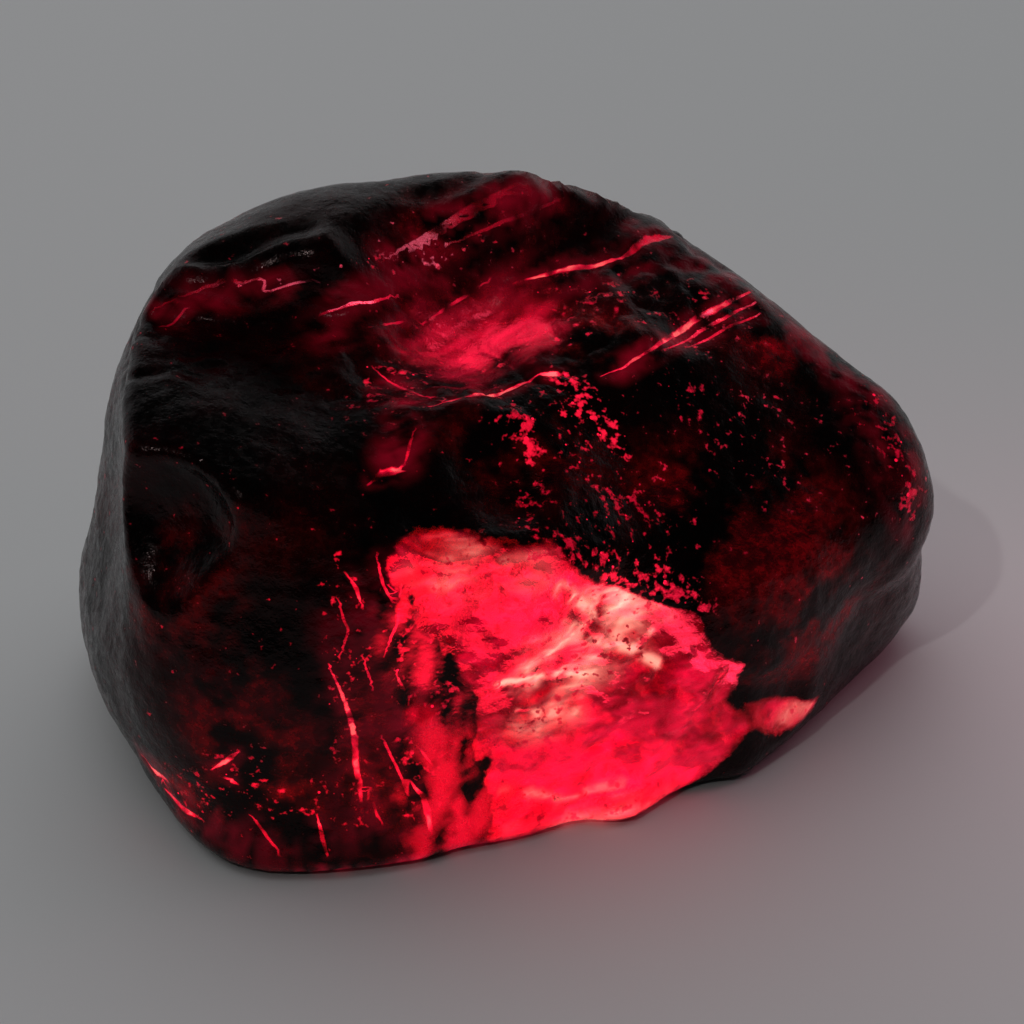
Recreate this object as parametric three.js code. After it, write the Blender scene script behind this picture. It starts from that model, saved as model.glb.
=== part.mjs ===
// A loose crystal of rough ruby, worn smooth by water: one closed solid of flat crystal faces, rounded
// edges, shell-shaped fracture dishes and a broken step across its top. Millimetres, +Z up.
//
// The form is a signed distance: it is negative inside the stone and positive outside it. Flat faces bound
// it, a terrace and a raised slab shape its top, and dishes and grooves are cut into it. A sphere of small
// triangles is then drawn in along straight lines until it lies on the form.
import * as THREE from 'three';
import { mergeVertices } from 'three/addons/utils/BufferGeometryUtils.js';

// Driving dimensions.
const LENGTH = 20.5; // along X, the longest way through the stone
const DEPTH = 14.0; // along Y
const HEIGHT = 12.0; // along Z, from the flat base to the top of the slab
const BASE_ROUND = 0.6; // rounding where the sides meet the base
const BASE_SUNK = 0.05; // how far below the rest plane the rounded base would end
const SWELL_HEIGHT = 0.1; // height of the slow unevenness of every face
const SWELL_START = 1.5; // height over which that unevenness fades in above the base
const BEND = 0.18; // how far the outlines of dishes, grooves and the slab wander
const QUICK_BEND = 0.09; // how far they wander in shorter waves on top of that
const TOP_DROP = 0.1; // how far the top slopes down to below the full height
const TERRACE_ROUND = 0.6;
const SLAB_ROUND = 0.4;
const SLAB_FOOT_ROUND = 0.15; // rounding at the foot of the slab
const TOP_ROUND = 0.25; // rounding where the top meets the sides
const LID_ROUND = 0.25; // rounding under the ledge over the large dish

// Fineness of the skin.
const SKIN_DETAIL = 20; // divisions of each edge of the icosahedron
const SKIN_STEPS = 40; // steps taken along each line
const SKIN_STRIDE = 0.8; // share of the distance taken in one step
const EVENING_ROUNDS = 12; // times that the triangles are evened out along the skin
const EVENING_SHARE = 0.6; // share of the way to the middle of its neighbours that a corner moves
const SLOPE_STEP = 0.02; // step over which the slope of the form is measured

const CORE_SHARE = 0.45; // height of the point that the lines lead to, as a share of the stone's height
const REACH_SHARE = 0.7; // how far out the lines start, as a share of the stone's size

const FINISH = { color: 0x5a0714, roughness: 0.22, metalness: 0.0 };

const CORE = new THREE.Vector3(0, 0, CORE_SHARE * HEIGHT);
const REACH = new THREE.Vector3(LENGTH, DEPTH, HEIGHT).multiplyScalar(REACH_SHARE);

// Waves, each given by its turns per millimetre along X, Y and Z (in radians) and where it starts.
const SWELL_WAVES = [
  [0.93, 0.61, 0.0, 0.4],
  [0.0, 0.87, -0.72, 1.9],
  [-0.55, 0.0, 0.98, 3.1],
];
const BEND_WAVES = [
  [0.0, 1.15, 0.8, 0.6],
  [0.9, 0.0, 1.05, 2.1],
  [1.0, -1.2, 0.0, 4.0],
];
const QUICK_BEND_WAVES = [
  [0.0, -1.7, 2.3, 2.0],
  [2.1, 0.0, 1.9, 0.7],
  [1.8, 2.2, 0.0, 3.0],
];

const vector = (xyz) => new THREE.Vector3(...xyz);

// A flat face through a point, with its outward direction and the rounding of its edges.
function face(at, outward, round) {
  return {
    plane: new THREE.Plane().setFromNormalAndCoplanarPoint(vector(outward).normalize(), vector(at)),
    round,
  };
}

// The ball whose surface shows through a face as a round patch of this rim radius. Its middle lies below
// the face by depth, or above it where depth is negative.
function ball(at, outward, rim, depth) {
  const sunk = Math.abs(depth);
  const radius = (rim * rim + sunk * sunk) / (2 * sunk);
  const offset = Math.sign(depth) * (radius - sunk);
  return new THREE.Sphere(vector(outward).normalize().multiplyScalar(offset).add(vector(at)), radius);
}

// A dish broken out of the stone. A lid, where it has one, is a plane above which nothing was broken out.
function dish(at, outward, rim, depth, round, lid = null) {
  return { ball: ball(at, outward, rim, depth), round, lid };
}

function lump(at, outward, rim, height, round) {
  return { ball: ball(at, outward, rim, -height), round };
}

function groove(start, end, radius, round) {
  return { line: new THREE.Line3(vector(start), vector(end)), radius, round };
}

// Crystal faces and worn sides, in order round the stone.
const SIDES = {
  front: face([0.3, -5.85, 3.0], [0.24, -0.97, 0.06], 1.2),
  frontLeft: face([-4.5, -7.1, 1.0], [-0.12, -0.95, 0.22], 1.1),
  frontRight: face([6.6, -2.5, 5.6], [0.46, -0.82, 0.34], 1.6),
  frontLow: face([5.7, -3.5, 0.4], [0.72, -0.66, -0.12], 1.2),
  shoulderMiddle: face([1.5, -0.3, 9.65], [0.28, -0.46, 0.84], 0.35),
  shoulderRight: face([4.6, 1.2, 9.7], [0.45, -0.5, 0.74], 1.0),
  top: face([-3.0, 3.0, HEIGHT - TOP_DROP], [-0.05, 0.04, 0.99], 0.6),
  rightSlope: face([8.1, 2.6, 7.9], [0.74, 0.3, 0.6], 1.0),
  left: face([-9.65, -0.5, 4.8], [-0.97, -0.14, 0.22], 0.9),
  leftFront: face([-8.4, -5.2, 5.0], [-0.72, -0.68, 0.12], 0.9),
  leftLow: face([-8.5, -4.6, 0.3], [-0.74, -0.64, -0.2], 1.0),
  leftUnder: face([-9.7, -2.0, 2.0], [-0.88, -0.25, -0.4], 1.2),
  leftBack: face([-8.2, 4.2, 6.0], [-0.7, 0.7, 0.1], 2.2),
  back: face([0.0, 7.0, 5.0], [0.04, 0.99, 0.1], 1.6),
  backLeft: face([-4.6, 6.5, 5.0], [-0.32, 0.93, 0.12], 1.0),
  backRight: face([8.0, 5.0, 4.5], [0.72, 0.69, 0.05], 1.8),
  backLow: face([0.0, 6.2, 1.5], [0.1, 0.75, -0.66], 1.6),
  right: face([10.8, 1.0, 4.7], [0.99, 0.05, 0.1], 1.6),
  rightLow: face([9.9, 0.0, 1.2], [0.72, -0.3, -0.62], 1.4),
  rightBack: face([8.8, 4.2, 7.0], [0.62, 0.62, 0.48], 1.2),
  topLeft: face([-8.2, 2.4, 10.3], [-0.88, 0.1, 0.46], 0.7),
  topBack: face([-1.0, 5.7, 11.6], [-0.14, 0.76, 0.64], 0.8),
  topBackLeft: face([-4.9, 4.2, 11.5], [-0.36, 0.62, 0.7], 0.8),
};

// The worn terrace below the slab, which falls to the left and to the right.
const TERRACE = [
  face([0.5, -0.2, 9.75], [0.1, -0.17, 0.98], TERRACE_ROUND),
  face([4.8, 3.2, 10.15], [0.5, 0.25, 0.82], TERRACE_ROUND),
  face([-5.3, -1.5, 10.1], [-0.06, -0.17, 0.98], TERRACE_ROUND),
];

// The slab that stands on the terrace at the back: its front step, its slanting step and its end.
const SLAB = [
  face([-5.5, 1.1, 11.25], [0.08, -0.96, 0.25], SLAB_ROUND),
  face([0.3, 3.0, 10.6], [0.58, -0.74, 0.33], SLAB_ROUND),
  face([2.85, 4.6, 11.1], [0.85, 0.15, 0.5], SLAB_ROUND),
];

const WINDOW_LID = face([0.5, -4.8, 7.75], [0.2, -0.3, 0.9], LID_ROUND);

const DISHES = {
  windowUpper: dish([-0.3, -5.6, 6.05], [0.1, -0.97, 0.2], 2.3, 0.5, 0.15, WINDOW_LID),
  windowMiddle: dish([2.1, -5.2, 3.9], [0.28, -0.95, 0.05], 3.5, 0.8, 0.15, WINDOW_LID),
  windowRight: dish([4.5, -4.3, 1.9], [0.58, -0.8, -0.06], 2.1, 0.42, 0.15),
  windowChip: dish([6.6, -2.6, 1.5], [0.5, -0.86, 0.1], 1.0, 0.16, 0.12),
  windowFoot: dish([1.3, -5.6, 1.2], [0.12, -0.98, 0.0], 2.0, 0.3, 0.15),
  terraceMiddle: dish([-0.7, -0.2, 9.85], [0.1, -0.15, 0.97], 2.2, 0.45, 0.2),
  terraceRight: dish([3.3, 2.2, 9.9], [0.3, -0.15, 0.9], 1.8, 0.35, 0.2),
  shoulderValley: dish([-0.7, -3.4, 8.9], [0.35, -0.5, 0.8], 2.0, 0.4, 0.2),
  terraceFront: dish([-3.4, -2.6, 9.9], [0.1, -0.17, 0.98], 1.5, 0.35, 0.2),
  leftShoulder: dish([-7.2, -4.7, 8.1], [-0.42, -0.8, 0.42], 1.7, 0.55, 0.2),
  rightNeck: dish([8.9, 1.8, 7.4], [0.75, -0.1, 0.66], 1.5, 0.4, 0.2),
  backLarge: dish([-3.4, 6.8, 6.6], [-0.2, 0.97, 0.15], 3.2, 0.7, 0.2),
  backLow: dish([-0.9, 6.9, 3.2], [-0.1, 0.99, -0.1], 2.0, 0.4, 0.2),
  backRight: dish([4.4, 6.4, 3.6], [0.35, 0.93, -0.1], 2.6, 0.6, 0.25),
  backTop: dish([1.0, 6.2, 9.6], [0.1, 0.75, 0.66], 1.6, 0.25, 0.3),
  left: dish([-9.8, 1.6, 6.5], [-1.0, 0.15, 0.1], 2.4, 0.5, 0.25),
  right: dish([10.2, 3.0, 3.6], [0.9, 0.4, -0.1], 1.9, 0.45, 0.3),
};

const LUMPS = {
  rightNose: lump([9.3, 1.4, 5.6], [0.9, -0.1, 0.35], 1.6, 0.5, 0.5),
};

const GROOVES = {
  slabMiddle: groove([-2.9, 2.6, 12.2], [-0.4, 4.9, 12.2], 0.45, 0.2),
  slabLeft: groove([-8.0, 1.5, 12.0], [-4.6, 1.9, 12.1], 0.42, 0.2),
};

// The larger of two distances, with a rounded edge where they are equal.
function roundedMax(a, b, round) {
  const near = Math.max(round - Math.abs(a - b), 0) / round;
  return Math.max(a, b) + (near * near * round) / 4;
}

const roundedMin = (a, b, round) => -roundedMax(-a, -b, round);

const wave = ([x, y, z, start], p) => Math.sin(x * p.x + y * p.y + z * p.z + start);

// A point moved a little, so that what is cut from the stone has no perfect circles or straight lines.
function wander(p) {
  const slow = vector(BEND_WAVES.map((turns) => BEND * wave(turns, p)));
  const quick = vector(QUICK_BEND_WAVES.map((turns) => QUICK_BEND * wave(turns, p)));
  return slow.add(quick).add(p);
}

// The slow unevenness of worn faces.
function swell(p) {
  const height = SWELL_WAVES.reduce((sum, turns) => sum + SWELL_HEIGHT * wave(turns, p), 0);
  return height * THREE.MathUtils.clamp(p.z / SWELL_START, 0, 1);
}

// The distance to the space behind every one of these faces.
function behindAll(faces, p) {
  return Object.values(faces).reduce(
    (distance, { plane, round }) => roundedMax(distance, plane.distanceToPoint(p), round),
    -REACH.x,
  );
}

function dishDistance({ ball: hollow, lid }, p, moved) {
  const distance = hollow.distanceToPoint(moved);
  return lid === null ? distance : roundedMax(distance, lid.plane.distanceToPoint(p), lid.round);
}

function form(p) {
  const moved = wander(p);
  const top = roundedMin(behindAll(TERRACE, p), behindAll(SLAB, moved), SLAB_FOOT_ROUND);
  let distance = roundedMax(behindAll(SIDES, p), top, TOP_ROUND);
  for (const hollow of Object.values(DISHES)) {
    distance = roundedMax(distance, -dishDistance(hollow, p, moved), hollow.round);
  }
  for (const { ball: bump, round } of Object.values(LUMPS)) {
    distance = roundedMin(distance, bump.distanceToPoint(moved), round);
  }
  for (const { line, radius, round } of Object.values(GROOVES)) {
    const nearest = line.closestPointToPoint(moved, true, new THREE.Vector3());
    distance = roundedMax(distance, radius - nearest.distanceTo(moved), round);
  }
  return roundedMax(distance, -p.z - BASE_SUNK, BASE_ROUND) + swell(p);
}

// The place on the stone's skin that lies on the line from the core through a point of the unit sphere.
function onSkin(spherePoint) {
  const along = spherePoint.clone().multiply(REACH);
  let span = along.length();
  along.normalize();
  const place = new THREE.Vector3();
  for (let step = 0; step < SKIN_STEPS; step += 1) {
    place.copy(CORE).addScaledVector(along, span);
    span -= SKIN_STRIDE * form(place);
  }
  place.copy(CORE).addScaledVector(along, span);
  if (place.z < 0) {
    place.copy(CORE).addScaledVector(along, -CORE.z / along.z);
    place.z = 0;
  }
  return place;
}

// A point near the skin, moved onto it the steepest way.
function backToSkin(p) {
  const distance = form(p);
  const slope = new THREE.Vector3(
    form(p.clone().setX(p.x + SLOPE_STEP)) - distance,
    form(p.clone().setY(p.y + SLOPE_STEP)) - distance,
    form(p.clone().setZ(p.z + SLOPE_STEP)) - distance,
  ).divideScalar(SLOPE_STEP);
  p.addScaledVector(slope, -distance / Math.max(slope.lengthSq(), 1));
  p.z = Math.max(p.z, 0);
  return p;
}

// The corners that each corner shares an edge with.
function neighboursOf(index, count) {
  const neighbours = Array.from({ length: count }, () => new Set());
  for (let first = 0; first < index.count; first += 3) {
    const corners = [index.getX(first), index.getX(first + 1), index.getX(first + 2)];
    corners.forEach((corner, turn) => neighbours[corner].add(corners[(turn + 1) % 3]));
  }
  return neighbours.map((around) => [...around]);
}

// Evens out the triangles, so that steps and dishes get as many as flat faces do.
function evenOut(places, neighbours) {
  return places.map((place, corner) => {
    const middle = new THREE.Vector3();
    neighbours[corner].forEach((other) => middle.add(places[other]));
    middle.divideScalar(neighbours[corner].length);
    return backToSkin(place.clone().lerp(middle, EVENING_SHARE));
  });
}

function stoneGeometry() {
  const sphere = new THREE.IcosahedronGeometry(1, SKIN_DETAIL);
  sphere.deleteAttribute('normal');
  sphere.deleteAttribute('uv');
  const geometry = mergeVertices(sphere);
  const position = geometry.getAttribute('position');
  const neighbours = neighboursOf(geometry.getIndex(), position.count);
  let places = neighbours.map((_, corner) => {
    return onSkin(new THREE.Vector3().fromBufferAttribute(position, corner));
  });
  for (let round = 0; round < EVENING_ROUNDS; round += 1) {
    places = evenOut(places, neighbours);
  }
  places.forEach((place, corner) => position.setXYZ(corner, place.x, place.y, place.z));
  geometry.computeBoundingBox();
  const middle = geometry.boundingBox.getCenter(new THREE.Vector3());
  geometry.translate(-middle.x, -middle.y, 0);
  geometry.computeVertexNormals();
  return geometry;
}

const crystal = new THREE.Mesh(stoneGeometry(), new THREE.MeshStandardMaterial(FINISH));
crystal.name = 'ruby_crystal';

const part = new THREE.Group();
part.add(crystal);

export default part;
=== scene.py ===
import math

import bmesh
import bpy
import numpy as np
from bpy.props import FloatProperty, FloatVectorProperty, IntProperty, PointerProperty
from bpy.types import Operator, Panel, PropertyGroup
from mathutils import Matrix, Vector, kdtree, noise


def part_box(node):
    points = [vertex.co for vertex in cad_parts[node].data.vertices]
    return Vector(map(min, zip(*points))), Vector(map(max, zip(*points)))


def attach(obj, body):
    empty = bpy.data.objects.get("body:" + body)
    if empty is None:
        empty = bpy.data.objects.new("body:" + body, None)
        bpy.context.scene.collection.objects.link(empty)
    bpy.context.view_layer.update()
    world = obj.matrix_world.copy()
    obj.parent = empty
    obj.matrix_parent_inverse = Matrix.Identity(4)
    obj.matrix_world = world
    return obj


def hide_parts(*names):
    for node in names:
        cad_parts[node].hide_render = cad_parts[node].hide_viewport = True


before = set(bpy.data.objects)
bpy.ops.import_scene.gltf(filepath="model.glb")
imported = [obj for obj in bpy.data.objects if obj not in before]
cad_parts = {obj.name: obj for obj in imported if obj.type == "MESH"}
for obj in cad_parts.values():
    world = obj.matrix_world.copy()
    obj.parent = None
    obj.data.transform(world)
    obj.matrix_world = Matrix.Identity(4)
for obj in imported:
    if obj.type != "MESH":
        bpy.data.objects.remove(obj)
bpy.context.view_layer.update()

bl_info = {
    "name": "Ruby crystal",
    "version": (1, 0, 0),
    "blender": (4, 5, 0),
    "location": "3D View > Sidebar > Ruby",
    "description": "A water-worn crystal of rough ruby with cracks and specks inside, on a pale floor",
    "category": "Object",
}

NODE = "ruby_crystal"
BODY = "root"
MM = 0.001

STONE_LOW, STONE_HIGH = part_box(NODE)
STONE_MIDDLE = (STONE_LOW + STONE_HIGH) / 2


# ---------------------------------------------------------------- the form of the stone, in millimetres

HEIGHT = 12.0
BASE_ROUND = 0.6
BASE_SUNK = 0.05
SWELL_HEIGHT = 0.1
SWELL_START = 1.5
BEND = 0.18
QUICK_BEND = 0.09
TOP_DROP = 0.1
SLAB_FOOT_ROUND = 0.15
TOP_ROUND = 0.25
FAR = 14.0
TRAIL_STEP = 0.03
LINE_SHARE = 0.75
TINY = 1e-9
COMB_WIDE = 1.7
COMB_LONG = 0.4
UPRIGHT = (0.12, -0.1, 1.0)
LEVEL = (1.0, 0.0, 0.15)
SLANT = (0.83, 0.5, 0.2)

# Each face: a point on it, its outward direction, the rounding of its edges.
SIDES = {
    "front": ((0.3, -5.85, 3.0), (0.24, -0.97, 0.06), 1.2),
    "front_left": ((-4.5, -7.1, 1.0), (-0.12, -0.95, 0.22), 1.1),
    "front_right": ((6.6, -2.5, 5.6), (0.46, -0.82, 0.34), 1.6),
    "front_low": ((5.7, -3.5, 0.4), (0.72, -0.66, -0.12), 1.2),
    "shoulder_middle": ((1.5, -0.3, 9.65), (0.28, -0.46, 0.84), 0.35),
    "shoulder_right": ((4.6, 1.2, 9.7), (0.45, -0.5, 0.74), 1.0),
    "top": ((-3.0, 3.0, HEIGHT - TOP_DROP), (-0.05, 0.04, 0.99), 0.6),
    "right_slope": ((8.1, 2.6, 7.9), (0.74, 0.3, 0.6), 1.0),
    "left": ((-9.65, -0.5, 4.8), (-0.97, -0.14, 0.22), 0.9),
    "left_front": ((-8.4, -5.2, 5.0), (-0.72, -0.68, 0.12), 0.9),
    "left_low": ((-8.5, -4.6, 0.3), (-0.74, -0.64, -0.2), 1.0),
    "left_under": ((-9.7, -2.0, 2.0), (-0.88, -0.25, -0.4), 1.2),
    "left_back": ((-8.2, 4.2, 6.0), (-0.7, 0.7, 0.1), 2.2),
    "back": ((0.0, 7.0, 5.0), (0.04, 0.99, 0.1), 1.6),
    "back_left": ((-4.6, 6.5, 5.0), (-0.32, 0.93, 0.12), 1.0),
    "back_right": ((8.0, 5.0, 4.5), (0.72, 0.69, 0.05), 1.8),
    "back_low": ((0.0, 6.2, 1.5), (0.1, 0.75, -0.66), 1.6),
    "right": ((10.8, 1.0, 4.7), (0.99, 0.05, 0.1), 1.6),
    "right_low": ((9.9, 0.0, 1.2), (0.72, -0.3, -0.62), 1.4),
    "right_back": ((8.8, 4.2, 7.0), (0.62, 0.62, 0.48), 1.2),
    "top_left": ((-8.2, 2.4, 10.3), (-0.88, 0.1, 0.46), 0.7),
    "top_back": ((-1.0, 5.7, 11.6), (-0.14, 0.76, 0.64), 0.8),
    "top_back_left": ((-4.9, 4.2, 11.5), (-0.36, 0.62, 0.7), 0.8),
}
TERRACE = {
    "middle": ((0.5, -0.2, 9.75), (0.1, -0.17, 0.98), 0.6),
    "right": ((4.8, 3.2, 10.15), (0.5, 0.25, 0.82), 0.6),
    "left": ((-5.3, -1.5, 10.1), (-0.06, -0.17, 0.98), 0.6),
}
SLAB = {
    "front_step": ((-5.5, 1.1, 11.25), (0.08, -0.96, 0.25), 0.4),
    "slanting_step": ((0.3, 3.0, 10.6), (0.58, -0.74, 0.33), 0.4),
    "end": ((2.85, 4.6, 11.1), (0.85, 0.15, 0.5), 0.4),
}
WINDOW_LID = ((0.5, -4.8, 7.75), (0.2, -0.3, 0.9), 0.25)

# Each dish: a point in its mouth, its outward direction, rim radius, depth, edge rounding, lid.
DISHES = {
    "window_upper": ((-0.3, -5.6, 6.05), (0.1, -0.97, 0.2), 2.3, 0.5, 0.15, WINDOW_LID),
    "window_middle": ((2.1, -5.2, 3.9), (0.28, -0.95, 0.05), 3.5, 0.8, 0.15, WINDOW_LID),
    "window_right": ((4.5, -4.3, 1.9), (0.58, -0.8, -0.06), 2.1, 0.42, 0.15, None),
    "window_chip": ((6.6, -2.6, 1.5), (0.5, -0.86, 0.1), 1.0, 0.16, 0.12, None),
    "window_foot": ((1.3, -5.6, 1.2), (0.12, -0.98, 0.0), 2.0, 0.3, 0.15, None),
    "terrace_middle": ((-0.7, -0.2, 9.85), (0.1, -0.15, 0.97), 2.2, 0.45, 0.2, None),
    "terrace_right": ((3.3, 2.2, 9.9), (0.3, -0.15, 0.9), 1.8, 0.35, 0.2, None),
    "shoulder_valley": ((-0.7, -3.4, 8.9), (0.35, -0.5, 0.8), 2.0, 0.4, 0.2, None),
    "terrace_front": ((-3.4, -2.6, 9.9), (0.1, -0.17, 0.98), 1.5, 0.35, 0.2, None),
    "left_shoulder": ((-7.2, -4.7, 8.1), (-0.42, -0.8, 0.42), 1.7, 0.55, 0.2, None),
    "right_neck": ((8.9, 1.8, 7.4), (0.75, -0.1, 0.66), 1.5, 0.4, 0.2, None),
    "back_large": ((-3.4, 6.8, 6.6), (-0.2, 0.97, 0.15), 3.2, 0.7, 0.2, None),
    "back_low": ((-0.9, 6.9, 3.2), (-0.1, 0.99, -0.1), 2.0, 0.4, 0.2, None),
    "back_right": ((4.4, 6.4, 3.6), (0.35, 0.93, -0.1), 2.6, 0.6, 0.25, None),
    "back_top": ((1.0, 6.2, 9.6), (0.1, 0.75, 0.66), 1.6, 0.25, 0.3, None),
    "left": ((-9.8, 1.6, 6.5), (-1.0, 0.15, 0.1), 2.4, 0.5, 0.25, None),
    "right": ((10.2, 3.0, 3.6), (0.9, 0.4, -0.1), 1.9, 0.45, 0.3, None),
}
NOSE = ((9.3, 1.4, 5.6), (0.9, -0.1, 0.35), 1.6, 0.5, 0.5)
GROOVES = {
    "slab_middle": ((-2.9, 2.6, 12.2), (-0.4, 4.9, 12.2), 0.45, 0.2),
    "slab_left": ((-8.0, 1.5, 12.0), (-4.6, 1.9, 12.1), 0.42, 0.2),
}


def unit(direction):
    direction = np.asarray(direction, float)
    return direction / np.linalg.norm(direction)


def rounded_max(a, b, rounding):
    near = np.maximum(rounding - np.abs(a - b), 0) / rounding
    return np.maximum(a, b) + near * near * rounding / 4


def rounded_min(a, b, rounding):
    return -rounded_max(-a, -b, rounding)


def wander(points):
    x, y, z = points.T
    slow = (np.sin(1.15 * y + 0.8 * z + 0.6), np.sin(1.05 * z + 0.9 * x + 2.1), np.sin(x - 1.2 * y + 4.0))
    quick = (np.sin(2.3 * z - 1.7 * y + 2.0), np.sin(2.1 * x + 1.9 * z + 0.7), np.sin(2.2 * y + 1.8 * x + 3.0))
    return points + BEND * np.stack(slow, 1) + QUICK_BEND * np.stack(quick, 1)


def swell(points):
    x, y, z = points.T
    waves = np.sin(0.93 * x + 0.61 * y + 0.4) + np.sin(0.87 * y - 0.72 * z + 1.9) + np.sin(0.98 * z - 0.55 * x + 3.1)
    return SWELL_HEIGHT * waves * np.clip(z / SWELL_START, 0, 1)


def behind_all(faces, points):
    distance = np.full(len(points), -FAR)
    for at, outward, rounding in faces.values():
        distance = rounded_max(distance, (points - np.array(at)) @ unit(outward), rounding)
    return distance


def ball_distance(at, outward, rim, depth, points):
    """Distance to the ball that shows through a face as a round patch. A lump has a negative depth."""
    sunk = abs(depth)
    radius = (rim * rim + sunk * sunk) / (2 * sunk)
    centre = np.array(at) + math.copysign(radius - sunk, depth) * unit(outward)
    return np.linalg.norm(points - centre, axis=1) - radius


def groove_distance(start, end, radius, points):
    start = np.array(start)
    run = np.array(end) - start
    share = np.clip((points - start) @ run / (run @ run), 0, 1)
    return np.linalg.norm(points - start - share[:, None] * run, axis=1) - radius


def form(points):
    """Distance of each point to the skin of the stone, negative inside."""
    moved = wander(points)
    top = rounded_min(behind_all(TERRACE, points), behind_all(SLAB, moved), SLAB_FOOT_ROUND)
    distance = rounded_max(behind_all(SIDES, points), top, TOP_ROUND)
    for at, outward, rim, depth, rounding, lid in DISHES.values():
        hollow = ball_distance(at, outward, rim, depth, moved)
        if lid:
            hollow = rounded_max(hollow, (points - np.array(lid[0])) @ unit(lid[1]), lid[2])
        distance = rounded_max(distance, -hollow, rounding)
    at, outward, rim, height, rounding = NOSE
    distance = rounded_min(distance, ball_distance(at, outward, rim, -height, moved), rounding)
    for start, end, radius, rounding in GROOVES.values():
        distance = rounded_max(distance, -groove_distance(start, end, radius, moved), rounding)
    return rounded_max(distance, -points[:, 2] - BASE_SUNK, BASE_ROUND) + swell(points)


def slope(points, distance, step=0.02):
    columns = [(form(points + np.eye(3)[axis] * step) - distance) / step for axis in range(3)]
    return np.stack(columns, 1)


def to_skin(points):
    distance = form(points)
    steep = slope(points, distance)
    share = distance / np.maximum((steep**2).sum(1), 1)
    points = points - share[:, None] * steep
    points[:, 2] = np.maximum(points[:, 2], 0)
    return points


# ---------------------------------------------------------------- the mesh of the stone


def coordinates(bm):
    return np.array([v.co for v in bm.verts])


def set_coordinates(bm, points):
    for v, point in zip(bm.verts, points):
        v.co = point


def evened(bm, points, rounds, share):
    """Moves the points along the skin until the triangles are about equal."""
    edges = np.array([(e.verts[0].index, e.verts[1].index) for e in bm.edges])
    count = np.bincount(edges.ravel(), minlength=len(points))[:, None]
    for _ in range(rounds):
        total = np.zeros_like(points)
        np.add.at(total, edges[:, 0], points[edges[:, 1]])
        np.add.at(total, edges[:, 1], points[edges[:, 0]])
        points = to_skin(points + share * (total / count - points))
    return points


def skin_bmesh(coarse_cuts, fine_cuts):
    """A closed mesh of the stone, in millimetres: a ball drawn onto the form, then made finer."""
    bm = bmesh.new()
    bmesh.ops.create_icosphere(bm, subdivisions=1, radius=1)
    bmesh.ops.subdivide_edges(bm, edges=bm.edges, cuts=coarse_cuts, use_grid_fill=True)
    bm.verts.index_update()
    core = np.array([0, 0, 0.45 * HEIGHT])
    along = coordinates(bm) * np.array([1.0, 0.68, 0.59])
    along /= np.linalg.norm(along, axis=1)[:, None]
    span = np.full(len(along), FAR)
    for _ in range(40):
        span -= 0.8 * form(core + along * span[:, None])
    points = core + along * span[:, None]
    points[:, 2] = np.maximum(points[:, 2], 0)
    points = evened(bm, points, 14, 0.6)
    set_coordinates(bm, points)
    bmesh.ops.subdivide_edges(bm, edges=bm.edges, cuts=fine_cuts, use_grid_fill=True, smooth=0.0)
    bm.verts.index_update()
    points = coordinates(bm)
    for _ in range(3):
        points = to_skin(points)
    points = evened(bm, points, 2, 0.5)
    set_coordinates(bm, points)
    return bm


# ---------------------------------------------------------------- cracks, painted glow and flecks


# The large fresh fracture at the front: its outline across the stone (X) and up it (Z).
WINDOW_OUTLINE = (
    (-2.2, 8.2), (-0.6, 8.0), (1.0, 7.7), (2.0, 6.6), (3.2, 5.6), (4.4, 5.2), (4.8, 4.3), (5.5, 3.5),
    (5.2, 2.5), (5.8, 1.6), (4.7, 0.3), (3.7, -0.4), (1.6, -0.5), (-0.2, -0.3), (-0.3, 2.4), (-0.7, 4.3),
    (-1.3, 5.7), (-2.2, 6.8), (-2.4, 7.6),
)
# The small fresh chip to the right of it.
CHIP_OUTLINE = ((5.6, 2.2), (6.4, 2.0), (7.5, 1.2), (7.3, 0.8), (6.4, 0.9), (5.8, 1.5))
# The half clear band to the left of the window, in the same flat coordinates.
VEIL_OUTLINE = ((-2.3, 6.6), (-0.9, 5.6), (-0.3, 4.0), (0.1, 2.3), (0.1, 0.4), (-1.6, 0.4), (-2.2, 2.1), (-1.8, 3.9), (-2.3, 5.4))
# The clear patch on the terrace, which also carries a painted glow: its outline across the stone (X) and back into it
# (Y).
TERRACE_OUTLINE = (
    (-1.3, 1.9), (-0.4, 1.9), (0.6, 2.0), (1.3, 1.3), (0.6, 0.6), (-0.4, 0.5), (-0.8, -0.5), (-1.5, 0.5), (-2.4, 0.5),
)
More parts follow.
